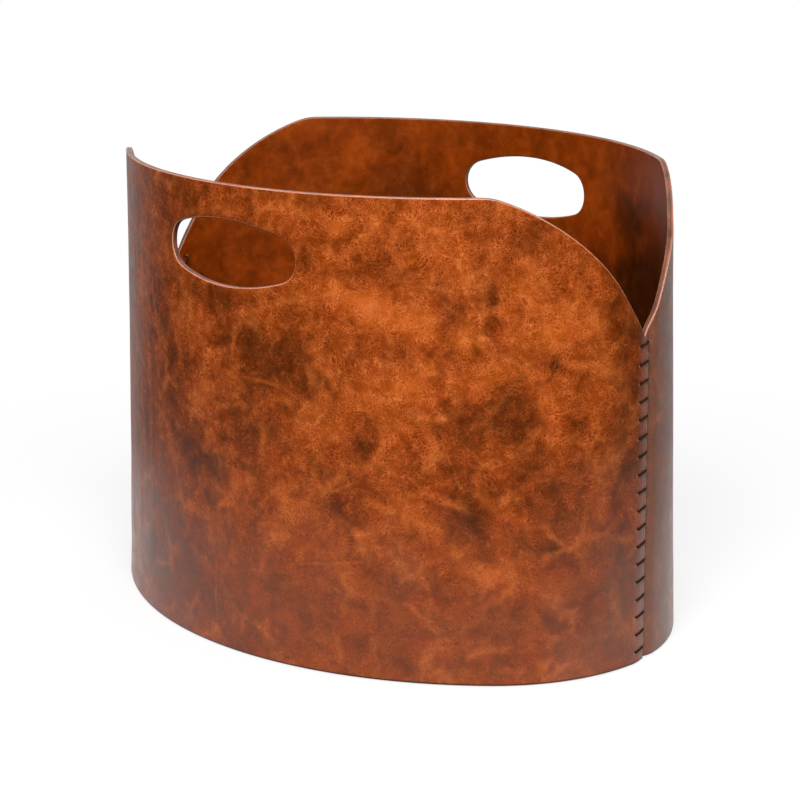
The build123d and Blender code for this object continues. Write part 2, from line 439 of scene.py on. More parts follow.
def pull(x, y):
    """Depth to which the thread pulls the leather in."""
    if abs(x) < quarter - seam_reach:
        return 0.0
    depth = dimple_depth * exp(-((hole_distance(x, y) / dimple_radius) ** 2))
    start, low, high = nearest_row(y)
    past_hole = x - quarter - start
    if past_hole > 0:
        bar = low + (high - low) * past_hole / bar_length
        depth += groove_depth * exp(-(((y - bar) / groove_half_width) ** 2)) * min(past_hole / 2, 1)
    return depth


def squeezed(past_end, outward):
    """Where a layer of the outer lap ends up: towards its edge the stitches press the lap thinner."""
    if outward < -wall:
        return outward
    return -wall + (outward + wall) * (1 - lap_squeeze * fade(past_end, -12, outer_lap))


def torn_lip_and_glint(x, y):
    """Where the awl has lifted a little pale leather beside the first hole of a stitch, with a painted glint on the
    dimple's rim.
    """
    if x < quarter - seam_reach:
        return 0.0
    start, low, high = nearest_row(y)
    return exp(-(((x - quarter - start + 1.0) / 0.6) ** 2) - ((y - low + 0.3) / 0.9) ** 2)


# %% [markdown]
# The two walls are not machine parts. Each is uneven by about half a millimetre, and the front one bulges by 2 mm near
# its ends, which is what makes the light on it soft and irregular. Beside a seam the inner wall swells, so that the
# seam is almost flush. The plies of a wall share the same unevenness, so they stay in contact, and it dies out at the
# seams and at the floor, where other pieces touch.

# %% How a wall gives
front_belly = 2.0
rear_belly = 0.3
seam_swell = 2.3


def unevenness(x, y, seed):
    """How far a wall stands out of its true form. The seed is 0 for the front wall."""
    broad = noise.noise(Vector((x / 95, y / 110, seed)))
    small = noise.noise(Vector((x / 38, y / 46, seed + 7)))
    from_end = quarter - abs(x)
    belly = (rear_belly if seed else front_belly) * sin(pi * y / wall_height) * (1 - fade(from_end, 80, 170))
    uneven = (0.5 * broad + 0.16 * small + belly) * fade(from_end, 16, 50) * fade(y, 18, 45)
    swell = seam_swell * fade(from_end, 4.2, 15) * (1 - fade(from_end, 18, 88)) if x < 0 else 0.0
    return uneven + swell


# %% [markdown]
# Where the leather was pared, pierced or kept waxy, and where light and shade are painted on it, depends on its place
# on the wall, so each ply carries notes of it for its material. They are worked out on the flat ply: the dye with some
# painted shade, the pared strip, streaks and calm areas, painted shade in the awl's holes and the pale torn fibre with
# a painted glint beside them, a painted grey reflection, and a painted highlight along the rounded edges.

# %% Notes for the finish
# Strength of the painted grey reflection behind the laps.
reflection_behind_lap = 0.42
# Reach of the painted shade round each awl hole.
awl_mark_radius = 1.5
pared_from = quarter + outer_lap - pared_width


def touched(x, y, touches):
    """Sum of the soft dark and light touches of dye and painted shade at a place, with ragged edges."""
    total = 0.0
    ragged = noise.noise_vector(Vector((x / 24, y / 24, 3.1))) * 13
    ragged += noise.noise_vector(Vector((x / 9, y / 9, 8.4))) * 4
    for mid_x, mid_y, half_width, half_height, lean, strength in touches:
        if hypot(x - mid_x, y - mid_y) > 2.2 * max(half_width, half_height) + 15:
            continue
        turn = radians(lean)
        share = min(0.2 + min(half_width, half_height) / 30, 1)
        away_x, away_y = x + ragged.x * share - mid_x, y + ragged.y * share - mid_y
        along = away_x * cos(turn) + away_y * sin(turn)
        across = away_y * cos(turn) - away_x * sin(turn)
        total += strength * exp(-((along / half_width) ** 2) - (across / half_height) ** 2)
    return total


def notes_at(spot, outer, half_turn, touches):
    """What the finish has to know about a place on a flat ply, as an amount of each kind of mark."""
    x, y = spot.x, spot.y
    under_surface = spot.z if outer else -spot.z - wall
    stray = noise.noise(Vector((x / 40, y / 40, 6.2))) * 45
    behind_lap = 1 - fade(x + stray, 10 - quarter, 160 - quarter)
    # The grey note set below is a painted reflection: behind the laps, low down and low near the seam on the outer
    # plies, and in a patch high near one end of a lining.
    if outer:
        near_seam_low = fade(x + stray, quarter - 130, quarter - 20) * (1 - fade(y + stray, 30, 200))
        painted_reflection = max(reflection_behind_lap * behind_lap, 0.12 * (1 - fade(y + stray, 30, 160)), 0.26 * near_seam_low)
    else:
        painted_reflection = 0.4 * exp(-(((x + 250) / 55) ** 2) - ((y - 312) / 30) ** 2)
    # The edge note set below is a painted highlight on the rounded corner of an edge; on the front wall it is weaker
    # towards the left end.
    highlight_reach = 1 if half_turn else 0.3 + 0.7 * fade(x, -200, -90)
    return {
        "dye_and_shade": touched(x, y, touches),
        "pared": fade(x, pared_from + 1.5, pared_from + 5.5),
        "streaked": (1.0 if outer else 0.2) * (1 - fade(x, -130, -50)) * fade(x, 20 - quarter, 110 - quarter),
        "calm": max(0.6 * behind_lap, 0.3 * (1 - fade(y + stray, 30, 170))),
        # The next note is painted shade where an awl hole would be dark, as the mesh is only dented there.
        "awl": exp(-((hole_distance(x, y) / awl_mark_radius) ** 2)) if abs(x) > quarter - seam_reach else 0.0,
        # The next note is pale torn fibre with a painted glint on the dimple's rim.
        "torn_and_glint": torn_lip_and_glint(x, y),
        "painted_reflection": painted_reflection,
        "edge_highlight": (1.0 if outer else 0.4) * fade(under_surface, -1.1, -0.15) * fade(y, 2, 9) * highlight_reach,
    }


# %% [markdown]
# Now a flat ply is bent. A copy of it gets its map and its notes first, while its places are still flat. Then each
# vertex goes to its place in the wall, pressed, pared and pulled in by the thread on the way.

# %% Bend a flat ply into its wall
def bend_ply(flat, name, outer, half_turn, touches, offset):
    """Copies a flat ply, notes on it what its finish needs, and bends it into its wall."""
    mesh = flat.data.copy()
    mesh.name = name
    piece = placed(name, mesh)
    spots = [v.co.copy() for v in mesh.vertices]
    grain_side = 1 if outer else -1
    for face in mesh.polygons:
        face.material_index = 0 if face.normal.z * grain_side > 0.95 else 1
    flat_map = mesh.uv_layers.new(name="flat")
    for loop in mesh.loops:
        spot = spots[loop.vertex_index]
        flat_map.data[loop.index].uv = (spot.x * mm + offset[0], spot.y * mm + offset[1])
    noted = [notes_at(spot, outer, half_turn, touches) for spot in spots]
    for note in noted[0]:
        amounts = mesh.attributes.new(note, "FLOAT", "POINT")
        amounts.data.foreach_set("value", [notes[note] for notes in noted])
    for v, spot in zip(mesh.vertices, spots):
        outward = spot.z
        if outer:
            share = (outward + ply) / ply
            thinned = 1 - skive_depth / ply * min(max((spot.x - pared_from) / pared_width, 0), 1)
            outward = -ply + share * (ply * thinned - pull(spot.x, spot.y))
        outward = squeezed(spot.x - quarter, outward)
        outward += unevenness(spot.x, spot.y, offset[0])
        level = min(max(spot.y, 0), wall_height)
        place = bent(spot.x * sum(arc_lengths(level)) / quarter, outward, level)
        if half_turn:
            place = Vector((-place.x, -place.y, place.z))
        v.co = place * mm
    mesh.update()
    mesh.shade_smooth()
    alone(piece)
    bpy.ops.object.shade_smooth_by_angle(angle=radians(smooth_below))
    return piece


# %% [markdown]
# The dye of this leather is cloudy: light touches where the wax has been rubbed away and dark ones where it sits.
# Some dark touches are painted shade instead: the deep ones inside the rear wall near its right end, and a broad weak
# one low across the front wall.
# Each touch is a soft oval: middle x and y on the flat panel, half width and half height in millimetres, lean in
# degrees and strength. Noise in the material then breaks up their edges.

# %% Touches of dye and painted shade on each wall
front_dye_and_shade = [
    (125, 264, 62, 10, -17, 0.34), (135, 212, 34, 16, 10, 0.20), (205, 220, 26, 12, 0, 0.24),
    (262, 252, 22, 12, 0, 0.22), (246, 185, 7, 30, 0, 0.26), (230, 278, 16, 20, 0, 0.16), (60, 325, 46, 12, 0, 0.16),
    (95, 182, 22, 16, 20, 0.18), (134, 172, 12, 18, 0, 0.16), (212, 82, 26, 18, -20, 0.14),
    (70, 118, 24, 9, -25, 0.14), (40, 150, 20, 8, 10, 0.14), (150, 128, 40, 6, -40, 0.14),
    (285, 220, 16, 26, 0, 0.10), (175, 300, 26, 22, 0, 0.12), (26, 228, 30, 20, -10, -0.20),
    (15, 176, 20, 20, 0, -0.16), (-34, 142, 24, 14, -20, -0.20), (-66, 190, 9, 42, 0, -0.12),
    (-80, 232, 6, 30, 0, -0.12), (-96, 200, 6, 50, 0, -0.08), (-48, 200, 5, 34, 0, -0.08),
    (-30, 262, 26, 12, 0, -0.10), (-58, 236, 12, 16, 0, 0.10), (-28, 240, 14, 22, 0, 0.14),
    (-34, 185, 14, 14, 0, 0.12), (20, 132, 22, 12, 20, 0.12), (218, 186, 26, 28, 0, -0.22),
    (180, 184, 12, 14, 0, -0.16), (172, 264, 8, 24, 8, -0.18), (204, 264, 7, 26, 6, -0.16),
    (232, 316, 14, 12, 0, -0.20), (248, 226, 9, 11, 0, -0.26), (66, 236, 12, 14, 0, -0.18),
    (192, 118, 12, 18, 0, -0.24), (92, 124, 18, 16, 0, -0.22), (25, 142, 14, 10, 0, -0.22),
    (112, 172, 9, 12, 0, -0.20), (150, 70, 24, 14, 0, -0.08), (262, 98, 34, 12, 0, -0.16),
    # The broad weak touch that opens the next line is painted shade that darkens the lower front.
    (100, 40, 330, 44, 0, -0.04), (205, 22, 16, 16, 0, -0.12), (140, 20, 12, 20, 0, -0.10),
    (-110, 120, 40, 60, 0, -0.06), (306, 180, 16, 120, 0, -0.18), (0, 325, 80, 34, 0, -0.10),
    (180, 256, 14, 22, 0, -0.08), (80, 205, 50, 24, 0, -0.14), (60, 145, 34, 18, 0, -0.12),
    (-30, 140, 34, 26, 0, -0.12), (250, 138, 34, 24, 0, -0.14), (140, 150, 16, 14, 0, -0.08),
    (180, 160, 20, 40, 0, -0.08), (-75, 40, 70, 60, 0, -0.14), (270, 50, 40, 30, 0, -0.10),
    (180, 228, 14, 12, 0, -0.08), (15, 262, 60, 8, 0, -0.06), (118, 290, 20, 12, 30, -0.10),
]
rear_touches = [
    (-300, 150, 60, 260, 0, -0.16), (-140, 235, 40, 30, 0, 0.20), (60, 250, 50, 22, 10, 0.16),
    (190, 180, 40, 30, -20, 0.22), (-20, 150, 60, 14, 25, 0.22), (230, 260, 30, 16, 0, -0.20),
    (120, 120, 36, 26, 0, -0.24), (-90, 110, 34, 40, 0, -0.24), (20, 60, 60, 14, 0, -0.12),
    (-220, 150, 30, 60, 0, -0.16),
]
front_inside_touches = [
    (40, 240, 50, 20, 0, 0.14), (-140, 180, 60, 30, 20, 0.14), (160, 140, 50, 40, 0, -0.18),
    (-60, 120, 50, 30, 0, -0.16), (240, 230, 40, 26, 0, -0.12),
]
rear_inside_dye_and_shade = [
    (-105, 262, 26, 16, 0, 0.14), (150, 306, 60, 16, 0, 0.08), (60, 300, 30, 20, 0, 0.06),
    # The three strong dark touches on the next line are painted shade deep inside the right end, where little light
    # reaches.
    (-165, 228, 60, 40, 20, -0.6), (-240, 250, 60, 70, 0, -0.35), (-300, 290, 40, 60, 0, -0.2),
    (-135, 290, 22, 16, 0, -0.22), (-230, 318, 60, 26, 0, 0.10), (-80, 300, 34, 22, 0, 0.10),
    (-60, 240, 60, 30, 0, -0.10), (215, 300, 40, 24, 0, -0.05), (270, 230, 60, 50, 0, -0.12),
    (0, 150, 200, 110, 0, -0.10), (60, 262, 60, 20, 0, -0.14), (100, 300, 110, 50, 0, -0.12),
    (40, 330, 20, 10, 0, -0.10), (110, 285, 26, 20, 0, -0.10), (225, 320, 40, 12, 0, -0.08),
]

walls = {
    "front_outer_skin": (flat_outer, True, False, front_dye_and_shade, (0.0, 0.0)),
    "front_lining_skin": (flat_lining, False, False, front_inside_touches, (0.0, 3.0)),
    "rear_outer_skin": (flat_outer, True, True, rear_touches, (2.0, 0.0)),
    "rear_lining_skin": (flat_lining, False, True, rear_inside_dye_and_shade, (2.0, 3.0)),
}
skins = {name: bend_ply(values[0], name, *values[1:]) for name, values in walls.items()}
for flat in (flat_outer, flat_lining):
    bpy.data.objects.remove(flat)
print("walls:", ", ".join(skins))

# %% [markdown]
# The seam is whip-stitched with waxed linen of three twisted strands. A curve follows the thread's real route, in
# through both walls and over the pared edge. A three-lobed profile, turned as it runs, gives the twist.

# %% The seam thread
thread_radius = 0.62
thread_lobe = 0.09
thread_lay = 3.6
thread_tail = 2.5
profile_points = 12


def seam_point(past_end, outward, level):
    """A place at the right seam, by its distance past the end of the long axis."""
    return bent(sum(arc_lengths(level)) + past_end, squeezed(past_end, outward), level)


def thread_route():
    """Corners of the thread's route, from inside the lowest stitch upwards."""
    inside = -(lap_step + wall) - thread_radius - 0.1
    outside = thread_radius - 0.15
    pared_end = outside - skive_depth
    start, low, high = stitches[0]
    route = [seam_point(start - thread_tail, inside, low)]
    for start, low, high in stitches:
        rise = high - low
        route += [
            seam_point(start, inside, low),
            seam_point(start, inside / 2, low),
            seam_point(start + 0.3, -dimple_depth - 0.3, low - 0.1),
            seam_point(start + 1.2, outside - 0.2, low - 0.1),
            seam_point(start + 3.0, outside, low + 0.1),
            seam_point(-skive_width + outer_lap - 0.4, outside, low + 0.5 * rise),
            seam_point(outer_lap - 1.2, pared_end + 0.5, low + 0.85 * rise),
            seam_point(outer_lap + 0.4, pared_end - 0.7, high),
            seam_point(outer_lap + 0.8, -lap_step, high + 0.1),
            seam_point(hole_past_end, inside / 2 - 2, high),
            seam_point(hole_past_end, inside, high),
        ]
    start, low, high = stitches[-1]
    route.append(seam_point(hole_past_end + thread_tail, inside, high))
    return route


def curve_object(name, points, closed, tilts=None):
    """A curve through or near some points, in metres."""
    curve = bpy.data.curves.new(name, "CURVE")
    curve.dimensions = "3D"
    line = curve.splines.new("NURBS" if tilts else "POLY")
    line.points.add(len(points) - 1)
    for number, point in enumerate(points):
        line.points[number].co = (*(Vector(point) * mm), 1)
        line.points[number].tilt = tilts[number] if tilts else 0
    line.use_cyclic_u = closed
    if tilts:
        line.order_u = 3
        line.use_endpoint_u = True
        curve.resolution_u = 9
    return placed(name, curve)


route = thread_route()
walked = [0.0]
for here, ahead in zip(route, route[1:]):
    walked.append(walked[-1] + (ahead - here).length)
lobes = []
for number in range(profile_points):
    angle = 2 * pi * number / profile_points
    radius = thread_radius - thread_lobe + thread_lobe * cos(3 * angle)
    lobes.append((radius * cos(angle), radius * sin(angle), 0))
profile = curve_object("thread_profile", lobes, True)
right_thread = curve_object("right_thread", route, False, [2 * pi * run / thread_lay for run in walked])
right_thread.data.bevel_mode = "OBJECT"
right_thread.data.bevel_object = profile
right_thread.data.use_fill_caps = True
alone(right_thread)
bpy.ops.object.convert(target="MESH")
right_thread = bpy.context.object
weld(right_thread, 0.001 * mm)
bpy.ops.mesh.normals_make_consistent(inside=False)
done()
right_thread.data.shade_smooth()
bpy.data.objects.remove(profile)
left_thread = placed("left_thread", right_thread.data.copy())
left_thread.data.transform(Matrix.Rotation(pi, 4, "Z"))
print("thread:", round(walked[-1]), "mm long,", len(right_thread.data.polygons), "faces")

# %% [markdown]
# The floor is a board between two leathers. The CAD solids already have the right outline, so a copy of each leather
# is merged into one skin and its upper or lower edge is rounded, as a skiving knife leaves it.

# %% The two leathers of the floor
floor_round = 0.7
floor_map_shift = 4.0


def floor_leather(node, name, up):
    """A copy of a floor leather with its visible edge rounded."""
    piece = placed(name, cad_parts[node].data.copy())
    weld(piece, 0.01 * mm)
    bpy.ops.mesh.dissolve_limited(angle_limit=radians(0.5))
    done()

    def edge_of_top(edge):
        rises = sorted(face.normal.z * up for face in edge.link_faces)
        return rises[-1] > 0.9 and rises[0] < 0.1

    pick(piece, "EDGE", edge_of_top)
    bpy.ops.mesh.bevel(offset=floor_round * mm, segments=3, profile=0.5, affect="EDGES")
    done()
    flat_map = piece.data.uv_layers.new(name="flat")
    for loop in piece.data.loops:
        spot = piece.data.vertices[loop.vertex_index].co
        flat_map.data[loop.index].uv = (spot.x + floor_map_shift, spot.y)
    piece.data.shade_smooth()
    alone(piece)
    bpy.ops.object.shade_smooth_by_angle(angle=radians(smooth_below))
    return piece


floor_top = floor_leather("floor_top_leather", "floor_top_skin", 1)
floor_underside = floor_leather("floor_underside_leather", "floor_underside_skin", -1)
print("floor leathers:", len(floor_top.data.polygons), len(floor_underside.data.polygons), "faces")

# %% [markdown]
# Colours are written as they look on a screen and turned to the linear values that Blender mixes. One helper adds a
# node with its settings and its links. The patterns of the grain leathers are measured on the flat leather, so their
# sizes are true millimetres and they follow the bend of the wall; the other materials measure theirs on the object.

# %% Colours and nodes
def colour(code):
    """Linear red, green, blue and alpha of an sRGB hex code."""
    parts = [int(code[start:start + 2], 16) / 255 for start in (1, 3, 5)]
    return (*(p / 12.92 if p <= 0.04045 else ((p + 0.055) / 1.055) ** 2.4 for p in parts), 1.0)


def empty_tree(owner):
    """The node tree of a material or a world, with no nodes in it yet."""
    owner.use_nodes = True
    owner.node_tree.nodes.clear()
    return owner.node_tree


mode_names = {"Math": "operation", "VectorMath": "operation", "MapRange": "interpolation_type", "Mix": "data_type",
              "TexVoronoi": "feature"}


def add(tree, kind, inputs, **settings):
    """Adds a node of a kind and, for some kinds, a mode: "Math MULTIPLY" is a Math node that multiplies.
    An input is a value, a hex colour, a socket, or a node, which stands for its first output."""
    kind, _, mode = kind.partition(" ")
    node = tree.nodes.new("ShaderNode" + kind)
    if mode:
        settings[mode_names[kind]] = mode
    for name, value in settings.items():
        setattr(node, name, value)
    for name, value in inputs.items():
        if isinstance(value, bpy.types.Node):
            value = next(output for output in value.outputs if output.enabled)
        if isinstance(value, bpy.types.NodeSocket):
            tree.links.new(value, node.inputs[name])
        else:
            node.inputs[name].default_value = colour(value) if isinstance(value, str) else value
    return node


def finish_with(tree, body, rough, height, strength, depth, others):
    """Ends a material with its colour, its roughness and its fine relief, whose depth is in millimetres."""
    bump = add(tree, "Bump", {"Height": height, "Strength": strength, "Distance": depth * mm})
    shader = add(tree, "BsdfPrincipled", {"Base Color": body, "Roughness": rough, "Normal": bump, **others})
    add(tree, "OutputMaterial", {"Surface": shader})


# %% [markdown]
# Pull-up leather is vegetable tanned cowhide stuffed with oils and waxes and then polished. The wax darkens it, and
# where the hide was bent or rubbed the wax moves away and a lighter orange shows. So its tone is clouds of about
# 45 mm, blotches of about 16 mm and mottling of 4 mm, added to the touches of dye and painted shade and to pale veins
# and creases, and its hue drifts between orange and red. Over it lies the grain: a curly net of fine pale folds, 2 to
# 3 mm wide, combed in patches, and dark pores. On top come painted light and shade: a painted grey reflection behind
# the laps and low down, painted shade in the awl holes with a painted glint beside them, and painted contact shade
# along the foot.

# %% Helpers for the leather
orange_stops = [(0.0, "#341400"), (0.25, "#622700"), (0.42, "#843700"), (0.58, "#A04602"), (0.78, "#C25C08"),
                (1.0, "#E28222")]
red_stops = [(0.0, "#3A1800"), (0.25, "#642400"), (0.42, "#862C02"), (0.58, "#A03A0A"), (0.78, "#BC4E20"),
             (1.0, "#D86E40")]
pale_fold = "#E07A37"
dark_pore = "#3A1C00"
pared_leather = "#A88470"
# Painted shade in the awl holes.
awl_hole = "#2A1008"
# Pale torn fibre with a painted glint.
torn_fibre_glint = "#E0A888"
# Painted grey reflection.
reflection_grey = "#9A7A6A"
# Painted contact shade along the foot of the walls.
foot_shade = "#24120C"


def fill_ramp(node, stops):
    """Sets the stops of a colour ramp from positions and hex codes."""
    ramp = node.color_ramp
    while len(ramp.elements) > 1:
        ramp.elements.remove(ramp.elements[-1])
    ramp.elements[0].position, ramp.elements[0].color = stops[0][0], colour(stops[0][1])
    for position, code in stops[1:]:
        ramp.elements.new(position).color = colour(code)


def crease(tree, place, start, end, width):
    """Mask of one soft crease between two places on the flat leather, in millimetres."""
    start, end = Vector((*start, 0)) * mm, Vector((*end, 0)) * mm
    along = end - start
    from_start = add(tree, "VectorMath SUBTRACT", {0: place, 1: start})
    run = add(tree, "VectorMath DOT_PRODUCT", {0: from_start, 1: along})
    share = add(tree, "Math MULTIPLY", {0: run, 1: 1 / along.length_squared}, use_clamp=True)
    nearest = add(tree, "VectorMath SCALE", {0: along, "Scale": share})
    gap = add(tree, "VectorMath DISTANCE", {0: from_start, 1: nearest})
    return add(tree, "MapRange SMOOTHSTEP", {"Value": gap, "From Max": width * mm, "To Min": 1.0, "To Max": 0.0})


def foot_shade_line(tree):
    """Mask of the lowest millimetre of the walls, darkened as painted contact shade where they meet the ground."""
    place = add(tree, "TexCoord", {}).outputs["Object"]
    level = add(tree, "SeparateXYZ", {"Vector": place}).outputs["Z"]
    return add(tree, "MapRange", {"Value": level, "From Min": 0.7 * mm, "From Max": 1.9 * mm, "To Min": 0.9,
        "To Max": 0.0})


# %% Waxed pull-up leather
def waxed_leather(name, fibre_amount, pore_amount, blotch_amount, mottle_amount, vein_amount, redness, gloss,
                  shine, creases):
    """Polished grain side of waxed leather."""
    material = bpy.data.materials.new(name)
    tree = empty_tree(material)
    flat = add(tree, "UVMap", {}, uv_map="flat")
    noted = {note: add(tree, "Attribute", {}, attribute_name=note).outputs["Fac"]
             for note in ("dye_and_shade", "streaked", "calm", "pared", "awl", "torn_and_glint", "painted_reflection")}

    shifts = {}
    for shift, size, reach, detail, roughness in (("drift", 26, 34, 2, 0.5), ("curl", 2.8, 2.6, 3, 0.65),
                                                  ("rumple", 14, 14, 4, 0.5)):
        waves = add(tree, "TexNoise", {"Vector": flat, "Scale": 1000 / size, "Detail": detail,
            "Roughness": roughness})
        waves = add(tree, "VectorMath ADD", {0: waves.outputs["Color"], 1: (-0.5, -0.5, -0.5)})
        shifts[shift] = add(tree, "VectorMath SCALE", {0: waves, "Scale": reach * mm})
    combed = add(tree, "VectorMath ADD", {0: flat, 1: shifts["drift"]})
    curled = add(tree, "VectorMath ADD", {0: combed, 1: shifts["curl"]})
    wavy = add(tree, "VectorMath ADD", {0: flat, 1: shifts["curl"]})
    crumpled = add(tree, "VectorMath ADD", {0: wavy, 1: shifts["rumple"]})
    rumpled = add(tree, "VectorMath MULTIPLY_ADD", {0: shifts["rumple"], 1: (0.4, 0.4, 0.4), 2: wavy})
    tall = add(tree, "Mapping", {"Vector": wavy, "Scale": (1.0, 0.09, 1.0)})

    noises = {}
    for pattern, where, size, detail, roughness, distortion in (
            ("clouds", flat, 45, 5, 0.62, 0.5), ("blotches", flat, 16, 6, 0.6, 0.6),
            ("mottle", curled, 3.6, 4, 0.7, 0.4), ("streaks", tall, 9, 3, 0.5, 0), ("hue", wavy, 18, 7, 0.85, 0),
            ("veined", flat, 30, 2, 0.5, 0), ("broken", flat, 7, 4, 0.7, 0), ("fibres", curled, 3, 3, 0.5, 0),
            ("patches", flat, 9, 6, 0.75, 0), ("pored", flat, 8, 4, 0.7, 0)):
        noises[pattern] = add(tree, "TexNoise", {"Vector": where, "Scale": 1000 / size, "Detail": detail,
            "Roughness": roughness, "Distortion": distortion})
    cells = {}
    for pattern, where, size, feature in (("veins", crumpled, 38, "DISTANCE_TO_EDGE"),
                                          ("folds", curled, 2.3, "DISTANCE_TO_EDGE"), ("pores", curled, 1.4, "F1")):
        cells[pattern] = add(tree, "TexVoronoi " + feature, {"Vector": where, "Scale": 1000 / size})
    up_wall = add(tree, "SeparateXYZ", {"Vector": flat}).outputs["Y"]
    masks = {}
    for mask, source, start, end, low, high, curve in (
            ("hue", noises["hue"], 0.36, 0.58, 0, redness, "LINEAR"),
            ("veins", cells["veins"], 0, 0.13, 1, 0, "SMOOTHSTEP"),
            ("veined", noises["veined"], 0.42, 0.62, 0, 0.8, "LINEAR"),
            ("broken", noises["broken"], 0.35, 0.6, 0.25, 1, "LINEAR"),
            ("folds", cells["folds"], 0, 0.155, 1, 0, "SMOOTHSTEP"),
            ("patches", noises["patches"], 0.38, 0.6, 0.08, 1, "LINEAR"),
            ("up_wall", up_wall, 0.06, 0.17, 0.5 * fibre_amount, fibre_amount, "LINEAR"),
            ("pores", cells["pores"], 0.1, 0.4, 1, 0, "SMOOTHSTEP"),
            ("pored", noises["pored"], 0.45, 0.65, 0.1 * pore_amount, pore_amount, "LINEAR"),
            ("bare", noises["blotches"], 0.35, 0.65, 0.33, 0.6, "LINEAR"),
            ("rough", noises["blotches"], 0.3, 0.7, gloss - 0.05, gloss + 0.08, "LINEAR")):
        masks[mask] = add(tree, "MapRange", {"Value": source, "From Min": start, "From Max": end, "To Min": low,
            "To Max": high}, interpolation_type=curve)

    tone = 0.203 - 0.5 * (blotch_amount + mottle_amount)
    for pattern, amount in (("clouds", 0.5), ("blotches", blotch_amount), ("mottle", mottle_amount)):
        tone = add(tree, "Math MULTIPLY_ADD", {0: noises[pattern], 1: amount, 2: tone})
    streaks = add(tree, "Math MULTIPLY_ADD", {0: noises["streaks"], 1: 0.55, 2: -0.275})
    tone = add(tree, "Math MULTIPLY_ADD", {0: streaks, 1: noted["streaked"], 2: tone})
    tone = add(tree, "Mix FLOAT", {"Factor": noted["calm"], "A": tone, "B": 0.46})
    tone = add(tree, "Math ADD", {0: tone, 1: noted["dye_and_shade"]})
    creased = add(tree, "Math MULTIPLY", {0: masks["veins"], 1: masks["veined"]})
    for start, end, width, strength in creases:
        line = crease(tree, rumpled, start, end, width)
        line = add(tree, "Math MULTIPLY", {0: line, 1: strength})
        creased = add(tree, "Math MAXIMUM", {0: creased, 1: line})
    creased = add(tree, "Math MULTIPLY", {0: creased, 1: masks["broken"]})
    tone = add(tree, "Math MULTIPLY_ADD", {0: creased, 1: vein_amount, 2: tone})
    ramps = []
    for stops in (orange_stops, red_stops):
        ramps.append(add(tree, "ValToRGB", {"Fac": tone}))
        fill_ramp(ramps[-1], stops)
    body = add(tree, "Mix RGBA", {"Factor": masks["hue"], "A": ramps[0], "B": ramps[1]})

    fibres = add(tree, "Math ADD", {0: noises["fibres"], 1: -0.5})
    fibres = add(tree, "Math ABSOLUTE", {0: fibres})
    fibres = add(tree, "MapRange SMOOTHSTEP", {"Value": fibres, "From Max": 0.045, "To Min": 0.9, "To Max": 0.0})
    light = add(tree, "MapRange", {"Value": tone, "From Min": 0.25, "From Max": 0.6, "To Min": 0.25})
    veil = add(tree, "Math MAXIMUM", {0: masks["folds"], 1: fibres})
    for mask in (masks["patches"], light, masks["up_wall"]):
        veil = add(tree, "Math MULTIPLY", {0: veil, 1: mask})
    veil = add(tree, "Math MULTIPLY_ADD", {0: creased, 1: 3 * vein_amount, 2: veil}, use_clamp=True)
    pores = add(tree, "Math MULTIPLY", {0: masks["pores"], 1: masks["pored"]})
    bare = add(tree, "Math MULTIPLY", {0: noted["pared"], 1: masks["bare"]})
    # Painted shade in the awl holes.
    hole_shade = add(tree, "Math MULTIPLY", {0: noted["awl"], 1: 0.8})
    for mask, code in ((veil, pale_fold), (pores, dark_pore), (bare, pared_leather), (hole_shade, awl_hole),
                       (noted["torn_and_glint"], torn_fibre_glint), (noted["painted_reflection"], reflection_grey), (foot_shade_line(tree), foot_shade)):
        body = add(tree, "Mix RGBA", {"Factor": mask, "A": body, "B": code})
    rough = add(tree, "Math MULTIPLY_ADD", {0: noted["pared"], 1: 0.08, 2: masks["rough"]})
    height = add(tree, "Math MULTIPLY_ADD", {0: veil, 1: 0.6, 2: noises["mottle"]})
    height = add(tree, "Math MULTIPLY_ADD", {0: pores, 1: -0.6, 2: height})
    finish_with(tree, body, rough, height, 0.6, 0.14, {"IOR": shine})
    return material


# %% [markdown]
# The front wall has a few long creases that the photograph shows: start and end on the flat panel and width in
# millimetres, and strength. The lining and the top of the floor are a plainer leather with little grain.

# %% The two grain leathers
front_creases = [
    ((181, 300), (186, 280), 3.0, 0.9), ((186, 280), (196, 262), 3.4, 0.9), ((196, 262), (199, 238), 2.6, 0.6),
    ((0, 208), (45, 206), 3.0, 0.6), ((80, 130), (105, 141), 2.8, 0.7), ((115, 131), (165, 112), 4.8, 0.5),
    ((50, 76), (110, 85), 1.8, 0.4), ((-18, -5), (-17, 60), 1.8, 0.5), ((-17, 60), (-19, 92), 1.6, 0.4),
    ((150, 268), (138, 246), 1.8, 0.4), ((128, 262), (122, 240), 1.6, 0.4), ((168, 176), (184, 140), 1.8, 0.6),
]
outer_leather = waxed_leather("waxed_pullup_leather_polished", 0.98, 0.62, 0.78, 0.17, 0.13, 1.0, 0.36,
                              1.34, front_creases)
inner_leather = waxed_leather("waxed_leather_smooth", 0.14, 0.14, 0.56, 0.06, 0.03, 0.45, 0.42, 1.25, [])
print("leathers:", outer_leather.name, inner_leather.name)

# %% [markdown]
# Most other materials are simpler. Each is a dark and a light tone, mixed by a fine noise for its fibres and often a
# coarse one for its unevenness, and the fine noise is also its relief.

